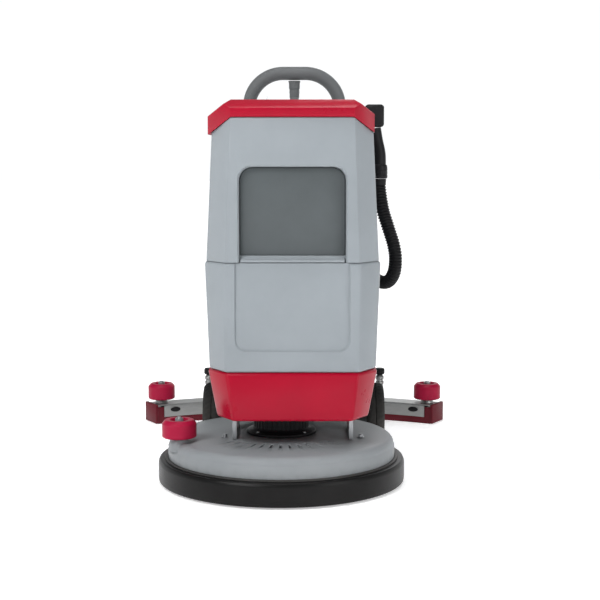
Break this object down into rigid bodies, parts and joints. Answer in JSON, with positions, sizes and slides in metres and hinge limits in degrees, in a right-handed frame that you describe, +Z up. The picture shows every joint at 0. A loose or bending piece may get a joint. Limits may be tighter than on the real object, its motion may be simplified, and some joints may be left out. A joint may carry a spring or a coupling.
{
  "type": "floor scrubber machine",
  "caption": "Walk-behind floor scrubber dryer with stacked grey tanks, red lid and cover, round brush deck, curved rear squeegee and loop handle.",
  "frame": {"origin": "on the floor, under the middle of the bounding box", "axes": "+Z up, -Y the machine's front (brush deck), +X to the right when the machine is seen from its front"},
  "size_m": [0.8388, 1.1396, 0.9935],
  "materials": {
    "tank_grey": "satin moulded",
    "window_dark": "smooth dark",
    "cover_red": "satin gloss",
    "deck_grey": "fine textured",
    "handle_grey": "fine textured",
    "black_plastic": "satin",
    "skirt_rubber": "satin",
    "tyre_rubber": "matte",
    "blade_red": "matte",
    "roller_red": "satin",
    "steel": "brushed",
    "alloy": "satin cast",
    "black_steel": "satin powder coat",
    "bristle": "bristle",
    "lens": "glossy"
  },
  "bodies": {
    "chassis": {"chassis_frame": "black_steel", "solution_tank": "tank_grey", "battery_left": "black_plastic", "battery_right": "black_plastic", "front_cover": "cover_red", "transaxle": "handle_grey", "rear_housing": "tank_grey", "vacuum_motor": "handle_grey", "dashboard_panel": "window_dark", "display_lens": "lens", "handle_loop": "handle_grey", "handle_stem": "handle_grey"},
    "drive_wheel_left": {"tyre_left": "tyre_rubber", "wheel_hub_left": "handle_grey"},
    "drive_wheel_right": {"tyre_right": "tyre_rubber", "wheel_hub_right": "handle_grey"},
    "caster_left": {"caster_fork_left": "steel"},
    "caster_right": {"caster_fork_right": "steel"},
    "caster_roller_left": {"caster_wheel_left": "tyre_rubber"},
    "caster_roller_right": {"caster_wheel_right": "tyre_rubber"},
    "recovery": {"recovery_tank": "tank_grey", "window_insert": "window_dark", "suction_pipe": "tank_grey", "float_cage": "cover_red", "drain_hose": "black_plastic", "drain_neck": "black_plastic", "drain_cap": "black_plastic", "drain_elbow": "black_plastic"},
    "lid": {"tank_lid": "cover_red"},
    "link": {"deck_link": "steel"},
    "deck": {"brush_deck": "deck_grey", "deck_hanger_left": "steel", "deck_hanger_right": "steel", "deck_skirt": "skirt_rubber", "skirt_strap": "steel", "brush_motor": "black_plastic"},
    "bumper": {"deck_roller": "roller_red"},
    "brush": {"brush_bristles": "bristle", "pad_driver": "cover_red", "brush_hub": "steel"},
    "arm": {"squeegee_arm": "black_steel"},
    "squeegee": {"squeegee_body": "alloy", "front_blade": "blade_red", "rear_blade": "blade_red", "front_clamp": "alloy", "end_flap_left": "blade_red", "end_flap_right": "blade_red", "adjuster_stud_left": "alloy", "adjuster_stud_right": "alloy"},
    "adjuster_left": {"adjuster_knob_left": "black_plastic"},
    "adjuster_right": {"adjuster_knob_right": "black_plastic"},
    "bumper_left": {"squeegee_roller_left": "roller_red"},
    "bumper_right": {"squeegee_roller_right": "roller_red"},
    "lever": {"squeegee_lever": "black_steel"},
    "pedal": {"deck_pedal": "black_steel"},
    "key": {"key_switch": "steel"},
    "brush_switch": {"brush_button": "tank_grey"},
    "vacuum_switch": {"vacuum_button": "tank_grey"},
    "water": {"water_knob": "handle_grey"},
    "trigger": {"drive_trigger": "handle_grey"}
  },
  "joints": [
    {"name": "drive_wheel_left_spin", "type": "hinge", "parent": "chassis", "child": "drive_wheel_left", "pos_m": [-0.2055, 0.05175, 0.0825], "axis": [1, 0, 0], "continuous": true},
    {"name": "caster_left_swivel", "type": "hinge", "parent": "chassis", "child": "caster_left", "pos_m": [-0.12, 0.30175, 0.117], "axis": [0, 0, 1], "continuous": true},
    {"name": "caster_left_roll", "type": "hinge", "parent": "caster_left", "child": "caster_roller_left", "pos_m": [-0.12, 0.33175, 0.0375], "axis": [1, 0, 0], "continuous": true},
    {"name": "drive_wheel_right_spin", "type": "hinge", "parent": "chassis", "child": "drive_wheel_right", "pos_m": [0.2055, 0.05175, 0.0825], "axis": [1, 0, 0], "continuous": true},
    {"name": "caster_right_swivel", "type": "hinge", "parent": "chassis", "child": "caster_right", "pos_m": [0.12, 0.30175, 0.117], "axis": [0, 0, 1], "continuous": true},
    {"name": "caster_right_roll", "type": "hinge", "parent": "caster_right", "child": "caster_roller_right", "pos_m": [0.12, 0.33175, 0.0375], "axis": [1, 0, 0], "continuous": true},
    {"name": "tank_tilt", "type": "hinge", "parent": "chassis", "child": "recovery", "pos_m": [0, -0.47025, 0.5075], "axis": [1, 0, 0], "range_deg": [0, 70]},
    {"name": "lid_open", "type": "hinge", "parent": "recovery", "child": "lid", "pos_m": [0, 0.32775, 0.8285], "axis": [-1, 0, 0], "range_deg": [0, 85]},
    {"name": "deck_lift", "type": "hinge", "parent": "chassis", "child": "link", "pos_m": [0, -0.03825, 0.185], "axis": [-1, 0, 0], "range_deg": [0, 8]},
    {"name": "deck_level", "type": "hinge", "parent": "link", "child": "deck", "pos_m": [0, -0.23825, 0.158], "axis": [-1, 0, 0], "range_deg": [-8, 0]},
    {"name": "deck_roller_spin", "type": "hinge", "parent": "deck", "child": "bumper", "pos_m": [-0.253, -0.37825, 0.136], "axis": [0, 0, 1], "continuous": true},
    {"name": "brush_spin", "type": "hinge", "parent": "deck", "child": "brush", "pos_m": [-0.0265, -0.28825, 0.05], "axis": [0, 0, 1], "continuous": true},
    {"name": "squeegee_lift", "type": "hinge", "parent": "chassis", "child": "arm", "pos_m": [0, 0.29175, 0.15], "axis": [1, 0, 0], "range_deg": [0, 9]},
    {"name": "squeegee_swivel", "type": "hinge", "parent": "arm", "child": "squeegee", "pos_m": [0, 0.48775, 0.068], "axis": [0, 0, 1], "range_deg": [-8, 8]},
    {"name": "adjuster_left_turn", "type": "hinge", "parent": "squeegee", "child": "adjuster_left", "pos_m": [-0.243, 0.45044, 0.13], "axis": [0, 0, 1], "continuous": true},
    {"name": "bumper_left_spin", "type": "hinge", "parent": "squeegee", "child": "bumper_left", "pos_m": [-0.373, 0.39675, 0.085], "axis": [0, 0, 1], "continuous": true},
    {"name": "adjuster_right_turn", "type": "hinge", "parent": "squeegee", "child": "adjuster_right", "pos_m": [0.243, 0.45044, 0.13], "axis": [0, 0, 1], "continuous": true},
    {"name": "bumper_right_spin", "type": "hinge", "parent": "squeegee", "child": "bumper_right", "pos_m": [0.373, 0.39675, 0.085], "axis": [0, 0, 1], "continuous": true},
    {"name": "squeegee_lever_pull", "type": "hinge", "parent": "chassis", "child": "lever", "pos_m": [0.1, 0.45775, 0.7], "axis": [-1, 0, 0], "range_deg": [0, 45]},
    {"name": "deck_pedal_press", "type": "hinge", "parent": "chassis", "child": "pedal", "pos_m": [0.158, 0.36675, 0.235], "axis": [-1, 0, 0], "range_deg": [0, 16]},
    {"name": "key_turn", "type": "hinge", "parent": "chassis", "child": "key", "pos_m": [-0.075, 0.41252, 0.87875], "axis": [0, -0.225, -0.9744], "range_deg": [0, 90]},
    {"name": "water_knob_turn", "type": "hinge", "parent": "chassis", "child": "water", "pos_m": [0.075, 0.41252, 0.87875], "axis": [0, -0.225, -0.9744], "range_deg": [0, 270]},
    {"name": "drive_trigger_pull", "type": "hinge", "parent": "chassis", "child": "trigger", "pos_m": [0, 0.56175, 0.94863], "axis": [1, 0, 0], "range_deg": [0, 12], "stiffness_Nm_per_rad": 0.4},
    {"name": "brush_switch_press", "type": "slide", "parent": "chassis", "child": "brush_switch", "axis": [0, -0.225, -0.9744], "range_m": [0, 0.0025], "stiffness_N_per_m": 400},
    {"name": "vacuum_switch_press", "type": "slide", "parent": "chassis", "child": "vacuum_switch", "axis": [0, -0.225, -0.9744], "range_m": [0, 0.0025], "stiffness_N_per_m": 400}
  ],
  "couplings": [
    {"joint": "deck_level", "follows": "deck_lift", "ratio": -1},
    {"joint": "squeegee_lever_pull", "follows": "squeegee_lift", "ratio": 5},
    {"joint": "deck_pedal_press", "follows": "deck_lift", "ratio": 2}
  ]
}
